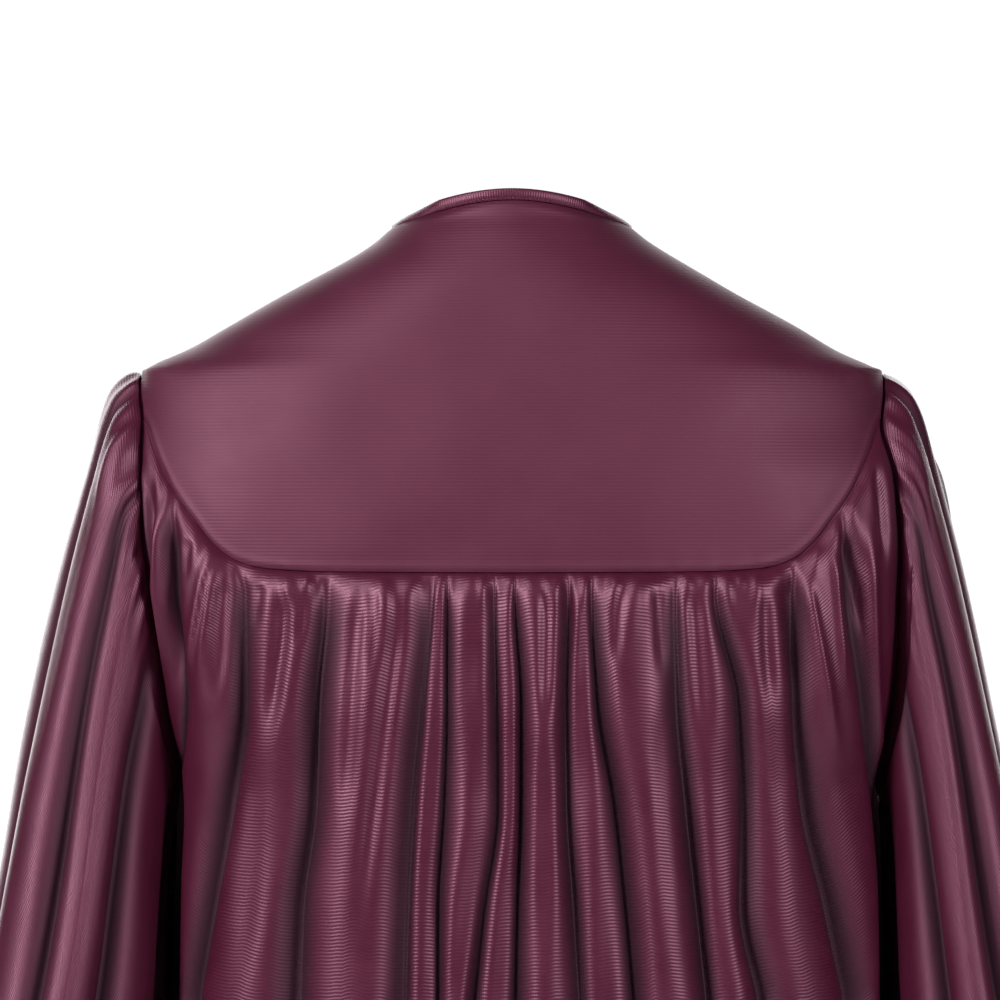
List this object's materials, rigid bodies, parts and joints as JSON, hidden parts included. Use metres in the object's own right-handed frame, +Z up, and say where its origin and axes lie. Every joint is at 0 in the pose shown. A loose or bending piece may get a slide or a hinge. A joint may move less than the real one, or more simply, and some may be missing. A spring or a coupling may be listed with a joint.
{
  "type": "choir robe",
  "caption": "Worn full-length choir robe with a smooth yoke, gathered back and fronts, open bell sleeves, bound V neck and a front zip with a swinging pull tab.",
  "frame": {"origin": "midway between the two side neck points, where the robe hangs on the wearer's shoulders", "axes": "+Z up, -Y towards the wearer's front, +X towards the wearer's left"},
  "size_m": [0.7656, 0.4933, 1.3144],
  "materials": {
    "yoke_cloth": "shiny polyester tricot, smooth, soft sheen",
    "body_cloth": "shiny polyester tricot, gathered, ribbed sheen",
    "sleeve_cloth": "shiny polyester tricot, gathered, ribbed sheen",
    "binding_cloth": "tricot binding, folded and stitched",
    "zip_coil": "dyed nylon coil on woven tape",
    "zip_metal": "enamelled die-cast zinc"
  },
  "bodies": {
    "robe": {"back_yoke": "yoke_cloth", "front_yoke_left": "yoke_cloth", "front_yoke_right": "yoke_cloth", "back_panel": "body_cloth", "front_left": "body_cloth", "front_right": "body_cloth", "sleeve_left": "sleeve_cloth", "sleeve_right": "sleeve_cloth", "neck_binding": "binding_cloth", "zip_chain": "zip_coil", "zip_slider": "zip_metal"},
    "pull_tab": {"zip_pull_tab": "zip_metal"}
  },
  "joints": [
    {"name": "tab_swing", "type": "hinge", "parent": "robe", "child": "pull_tab", "pos_m": [0, -0.11209, -0.14612], "axis": [-1, 0, 0], "range_deg": [0, 150]}
  ]
}
